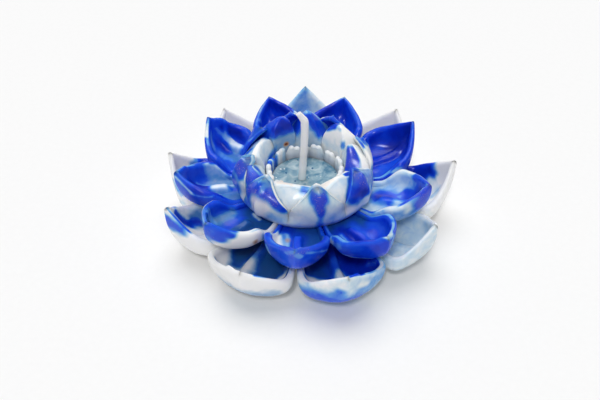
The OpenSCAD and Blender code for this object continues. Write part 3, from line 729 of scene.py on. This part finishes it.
# The teal (channel 3) low on the insides of the inner petals is painted shade down in the cup
inner_dye_and_shade = [
    ((0.16, 0.14, 0.22), [
        ("out", -3, 9, -1.5, 6.5, 1.1, 0.82), ("shell", 4, 13.4, 6, 12.6, 0.9, 0.52),
        ("rim", -5, 13.6, 0, 14.2, 0.6, 0.16, 2), ("in", -4, 3, 4, 4, 3, 0.26),
    ]),
    ((0.16, 0.14, 0.22), [
        ("out", 0, 9.5, 3.6, 12.6, 0.9, 0.7), ("rim", 3.5, 14, 6, 12.6, 0.9, 0.84),
        ("rim", -5, 13, -2, 14, 0.7, 0.14, 2),
    ]),
    ((0.24, 0.2, 0.12), [("top", -5, 9, -0.5, 14.5, 1.5, 0.78), ("top", -3, 11, -0.5, 14.5, 1.2, 0.5, 1)]),
    ((0.12, 0.08, 0.08), [
        ("in", -5, 4, 5, 5, 6, 0.2, 3), ("in", -4, 10, 4, 10.5, 1.6, 0.22),
        ("in", -3.7, 13.8, -3.7, 12.8, 0.9, 0.52), ("in", -0.6, 17.5, 0.4, 17.6, 0.7, 0.34),
        ("top", 2.2, 17.4, 4.5, 15.8, 1, 0.8), ("in", -4, 6, 3, 5, 2.5, 0.2),
        ("in", 4, 1, 4.5, 4, 1.4, 0.45),
    ]),
    ((0.3, 0.6, 0.5), [
        ("in", -5, 5, 5, 6, 9, 0.24, 3), ("top", -4.5, 13.5, -1, 18, 1.5, 0.76),
        ("top", 1.5, 18, 3.8, 13.6, 1.3, 0.8), ("in", -4, 2, 4, 4, 4, 0.32),
        ("rim", -1, 19.4, 1, 19.4, 0.8, 0.45),
    ]),
    ((0.34, 0.68, 0.7), [
        ("in", -5, 6, 5, 6, 9, 0.26, 3), ("in", -2.8, 16.6, 3.2, 16.4, 2.2, 0.94),
        ("in", 0, 18, 0, 18.8, 2.2, 0.86), ("in", -0.6, 9.8, -0.2, 9.8, 0.7, 0.95, 2),
        ("in", 4.8, 6.5, 4.8, 9.5, 1.1, 0.6), ("in", -3, 3, 3, 3, 4, 0.36),
        ("rim", -3, 18, 3, 18, 1, 0.4, 1),
    ]),
    ((0.22, 0.12, 0.36), [
        ("in", -5, 2, 5, 2, 4, 0.16, 3), ("in", -4.5, 8.8, -0.5, 7.6, 1.2, 0.6),
        ("in", 0.5, 5.4, 3, 6.4, 0.8, 0.5), ("in", -4, 1, 1, 1.5, 1.5, 0.06),
        ("out", 2, 12.5, 4.5, 11, 0.9, 0.62), ("shell", -5, 13, -5, 8, 1.4, 0.68),
    ]),
    ((0.26, 0.5, 0.44), [
        ("shell", -3.6, 12.6, 4, 11.6, 1.5, 0.74), ("out", 4, 10.5, 1.5, 6, 0.8, 0.64),
        ("shell", -3, 12.5, 2, 12.2, 1.2, 0.7, 1), ("in", -2, 12.4, 3, 12, 1, 0.6),
    ]),
]
for k in range(8):
    halves = half_sectors(inner_first, inner_turn, [0], k)
    weld_petal(
        f"petal_bud_inner_{k + 1}", f"bud_inner_petal_{k + 1}", 56, 150,
        bud_petal(
            k + 8, False, inner_tip_h + inner_rise[k], halves, 0, dome_h + inner_rise[k],
            inner_outline[k], *inner_dye_and_shade[k],
        ),
        heading(inner_first, inner_turn, k),
    )

# Wax pool.
# A shallow disc of paraffin that has melted and set again in the cup, greyer and clearer than the cast wax,
# with shreds of dye and pale crumbs caught in it. Its skin sank towards the wick as it cooled.
cup_z = bud_z + 3
pool_z = cup_z + weld_gap
pool_t, pool_dish = 0.8, 0.6
stamen_d = 1.9
stamen_r = column_r - stamen_d / 2
pool_r = stamen_r - stamen_d / 2 - weld_gap


def melted(tree, spot):
    cloud = add(tree, "ShaderNodeTexNoise", {
        "Vector": spot,
        "Scale": 1 / 0.004,
        "Detail": 4.0,
        "Distortion": 1.2,
    })
    shade = add(tree, "ShaderNodeValToRGB", {"Fac": cloud.outputs["Fac"]})
    stops = shade.color_ramp.elements
    stops[0].position, stops[0].color = 0.3, tint("#4f7f9c")
    stops[1].position, stops[1].color = 0.72, tint("#b7c9d0")
    stops.new(0.5).color = tint("#86a6b6")
    crumbs = add(tree, "ShaderNodeTexVoronoi", {"Vector": spot, "Scale": 1 / 0.0014})
    pick = add(tree, "ShaderNodeSeparateColor", {"Color": crumbs.outputs["Color"]})
    near = add(tree, "ShaderNodeMath", {0: crumbs.outputs["Distance"], 1: 0.28}, operation="LESS_THAN")
    pale = add(tree, "ShaderNodeMath", {0: pick.outputs["Red"], 1: 0.86}, operation="GREATER_THAN")
    dark = add(tree, "ShaderNodeMath", {0: pick.outputs["Green"], 1: 0.9}, operation="GREATER_THAN")
    pale = add(tree, "ShaderNodeMath", {0: pale.outputs[0], 1: near.outputs[0]}, operation="MULTIPLY")
    dark = add(tree, "ShaderNodeMath", {0: dark.outputs[0], 1: near.outputs[0]}, operation="MULTIPLY")
    mix = add(tree, "ShaderNodeMix", {
        "Factor": pale.outputs[0],
        "A": shade.outputs["Color"],
        "B": tint("#e2e9ea"),
    }, data_type="RGBA")
    mix = add(tree, "ShaderNodeMix", {
        "Factor": dark.outputs[0],
        "A": mix.outputs["Result"],
        "B": tint("#1f5b86"),
    }, data_type="RGBA")
    return mix.outputs["Result"]


bpy.ops.object.select_all(action="DESELECT")
bpy.ops.mesh.primitive_circle_add(
    vertices=64, radius=pool_r * mm, fill_type="NGON", location=(0, 0, pool_z * mm),
)
pool = bpy.context.object
pool.name = "pool_surface"
bpy.ops.object.transform_apply(location=True)
bpy.ops.object.mode_set(mode="EDIT")
bpy.ops.mesh.select_all(action="SELECT")
bpy.ops.mesh.extrude_region_move(TRANSFORM_OT_translate={"value": (0, 0, (pool_t + pool_dish) * mm)})
for ring in range(20):
    bpy.ops.mesh.inset(thickness=0.5 * mm)
bpy.ops.mesh.select_all(action="SELECT")
bpy.ops.mesh.normals_make_consistent(inside=False)
bpy.ops.object.mode_set(mode="OBJECT")
for v in pool.data.vertices:
    r = math.hypot(v.co.x, v.co.y) / mm
    if v.co.z > (pool_z + pool_t) * mm:
        a = math.atan2(v.co.y, v.co.x)
        sink = pool_dish * min(max((pool_r - 0.8 - r) / 6, 0), 1)
        ripple = 0.12 * math.sin(3 * a + r) * math.sin(0.9 * r)
        v.co.z -= (sink - ripple) * mm * (0.2 if r > pool_r - 0.3 else 1)
bpy.ops.object.shade_smooth_by_angle(angle=math.radians(50))
pool.data.materials.append(cast_wax("melted_paraffin", melted))
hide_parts("wax_pool")
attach(pool, "root")

# Stamens.
# A fringe of stubby round-headed stamens, pulled from soft white wax and pressed together round the edge of
# the pool until they fused. No two are alike: some lean, one has a dimple in its head, and a few are dyed or
# singed.
stamen_h, stamen_count = 7, 28
head_room, head_drop, dimpled = 0.1, 1.1, 18
# Widths round the ring, as shares of the diameter
head_broad, foot_broad = 1.25, 1.95
beads = []
for k in range(stamen_count):
    turn = math.radians(360 * k / stamen_count + 3 * math.sin(2.7 * k))
    bpy.ops.mesh.primitive_uv_sphere_add(segments=20, ring_count=13, radius=stamen_d / 2 * mm)
    bead = bpy.context.object
    broad = head_broad + 0.2 * math.sin(1.9 * k + 0.5)
    head_z = pool_z + stamen_h - stamen_d / 2 - head_room - head_drop * math.sin(2.4 * k + 1) ** 2
    lean = 0.5 * math.sin(2.9 * k) ** 2
    for v in bead.data.vertices:
        x, y, z = (c / mm for c in v.co)
        if z < 0:
            full = min(-6 * z / stamen_d, 1)
            from_axis = math.hypot(x, y)
            grow = 1 + full * (stamen_d / 2 / max(from_axis, 0.01) - 1) * (from_axis > 0.01)
            x, y = x * grow, y * grow * (1 + full * (foot_broad / broad - 1))
            z = z * (head_z - pool_z) / (stamen_d / 2)
        x, y = x + stamen_r, y * broad
        if z > 0:
            x = x - lean
            z = z - 0.5 * math.exp(-(y * y + (x - stamen_r) ** 2) / 0.15) * (k == dimpled)
        across = x * math.cos(turn) - y * math.sin(turn)
        deep = x * math.sin(turn) + y * math.cos(turn)
        v.co = Vector((across, deep, head_z + z)) * mm
    beads.append(bead)
bpy.ops.object.select_all(action="DESELECT")
for bead in beads:
    bead.select_set(True)
bpy.context.view_layer.objects.active = beads[0]
bpy.ops.object.join()
stamens = bpy.context.object
stamens.name = "stamens"
stamens.data.remesh_voxel_size = 0.2 * mm
bpy.ops.object.voxel_remesh()
bpy.ops.object.mode_set(mode="EDIT")
bpy.ops.mesh.select_all(action="SELECT")
bpy.ops.mesh.vertices_smooth(factor=0.5, repeat=5)
bpy.ops.object.mode_set(mode="OBJECT")
bpy.ops.object.shade_smooth()
# Dyed and singed places, each by its bearing and spread in degrees, its channel and its strength
stamen_dye = [
    (152, 9, 0, 0.72), (172, 8, 0, 0.62), (128, 7, 0, 0.3), (60, 12, 0, 0.2), (12, 8, 0, 0.18),
    (231, 5, 2, 0.3), (250, 6, 2, 0.24), (298, 5, 2, 0.3), (330, 5, 2, 0.24), (205, 4, 2, 0.12),
]
spots = np.empty(3 * len(stamens.data.vertices))
stamens.data.vertices.foreach_get("co", spots)
bearing = np.degrees(np.arctan2(spots[1::3], spots[0::3]))
dye_and_shade = np.zeros((len(bearing), 4))
for centre, width, channel, value in stamen_dye:
    off = (bearing - centre + 180) % 360 - 180
    dye_and_shade[:, channel] = np.maximum(dye_and_shade[:, channel], value * np.exp(-(off / width) ** 4))
# Painted shade: a deep teal on the stamens' feet, fading out between 2 and 5.5 mm above the pool
dye_and_shade[:, 3] = 0.42 * (1 - ease(share(spots[2::3] / mm, pool_z + 2, pool_z + 5.5)))
layer = stamens.data.attributes.new("dye_and_shade", "FLOAT_COLOR", "POINT")
layer.data.foreach_set("color", dye_and_shade.ravel())
stamens.data.materials.append(marbled_shaded_paraffin)
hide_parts("stamen_ring")
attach(stamens, "root")

# Wick.
# A flat-braided cotton wick primed with wax, crimped in its tab, led up the bore of the base and cut off
# short above a kink that leans to the left. The wax fills the braid, so that it is smooth. Its colour is
# drawn greyer over the lowest 6 mm, towards the pool.
wick_d, wick_low, kink_z = 2.6, 0.8, pool_z + pool_t + 24
kink_l, end_l, end_lean = 1.8, 3.5, math.radians(36)
grey_foot_h = 6


def primed_cotton(tree, spot):
    ribs = add(tree, "ShaderNodeTexNoise", {"Vector": spot, "Scale": 1 / 0.0015, "Detail": 2.0})
    mix = add(tree, "ShaderNodeMix", {
        "Factor": ribs.outputs["Fac"],
        "A": tint("#f8f7f5"),
        "B": tint("#fcfcfa"),
    }, data_type="RGBA")
    place = add(tree, "ShaderNodeSeparateXYZ", {"Vector": spot})
    low_grey = add(tree, "ShaderNodeMapRange", {
        "Value": place.outputs["Z"],
        "From Min": pool_z * mm,
        "From Max": (pool_z + grey_foot_h) * mm,
        "To Min": 1.0,
        "To Max": 0.0,
    })
    mix = add(tree, "ShaderNodeMix", {
        "Factor": low_grey.outputs[0],
        "A": mix.outputs["Result"],
        "B": tint("#d8dfe0"),
    }, data_type="RGBA")
    return mix.outputs["Result"]


bpy.ops.object.select_all(action="DESELECT")
bpy.ops.mesh.primitive_circle_add(
    vertices=24, radius=wick_d / 2 * mm, fill_type="NGON", location=(0, 0, wick_low * mm),
)
wick = bpy.context.object
wick.name = "cotton_wick"
bpy.ops.object.transform_apply(location=True)
bpy.ops.object.mode_set(mode="EDIT")
bpy.ops.mesh.select_all(action="SELECT")
step = 0.5
for ring in range(round((kink_z + end_l - wick_low) / step)):
    bpy.ops.mesh.extrude_region_move(TRANSFORM_OT_translate={"value": (0, 0, step * mm)})
bpy.ops.mesh.select_all(action="SELECT")
bpy.ops.mesh.normals_make_consistent(inside=False)
bpy.ops.object.mode_set(mode="OBJECT")
for v in wick.data.vertices:
    x, y, z = (c / mm for c in v.co)
    loose = min(max((z - pool_z - 1) / 18, 0), 1)
    y = y * (1 - 0.15 * loose)
    x = x * (1 + 0.02 * math.sin(1.1 * z)) - (1 - 0.85 * loose) * min(max((z - pool_z + 3) / 3, 0), 1)
    along = z - kink_z + kink_l / 2
    if along > 0:
        lean = end_lean * min(along / kink_l, 1)
        bend_r = kink_l / end_lean
        rest = max(along - kink_l, 0)
        aside = bend_r * (1 - math.cos(lean)) + rest * math.sin(lean)
        up = kink_z - kink_l / 2 + bend_r * math.sin(lean) + rest * math.cos(lean)
        slim = 1 - 0.25 * min(max((z - kink_z - 0.5) / 2.5, 0), 1)
        x, y, z = slim * x * math.cos(lean) - aside, slim * y, slim * x * math.sin(lean) + up
    v.co = (x * mm, y * mm, z * mm)
bpy.ops.object.shade_smooth_by_angle(angle=math.radians(50))
wick.data.materials.append(cast_wax("wax_primed_cotton", primed_cotton, reach=0.0004))
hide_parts("wick")
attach(wick, "root")

# Wick tab.
# A stamped disc of tinplate with a neck that is crimped on the foot of the wick. It keeps its CAD solid and
# lies in the recess under the foot. Tinplate is bright, with fine rolling lines.
tinplate = bpy.data.materials.new("rolled_tinplate")
tinplate.use_nodes = True
tree = tinplate.node_tree
tree.nodes.clear()
place = add(tree, "ShaderNodeTexCoord")
# Rolling lines 0.2 mm wide and 8 mm long
lines = add(tree, "ShaderNodeMapping", {
    "Vector": place.outputs["Object"],
    "Scale": (1 / 0.0002, 1 / 0.008, 1 / 0.008),
})
roll = add(tree, "ShaderNodeTexNoise", {"Vector": lines.outputs[0], "Scale": 1.0, "Detail": 2.0})
dull = add(tree, "ShaderNodeMapRange", {"Value": roll.outputs["Fac"], "To Min": 0.22, "To Max": 0.42})
metal = add(tree, "ShaderNodeBsdfPrincipled", {
    "Base Color": tint("#c9cacb"),
    "Metallic": 1.0,
    "Roughness": dull.outputs[0],
})
add(tree, "ShaderNodeOutputMaterial", {"Surface": metal.outputs[0]})
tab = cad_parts["wick_tab"]
tab.data.materials.clear()
tab.data.materials.append(tinplate)
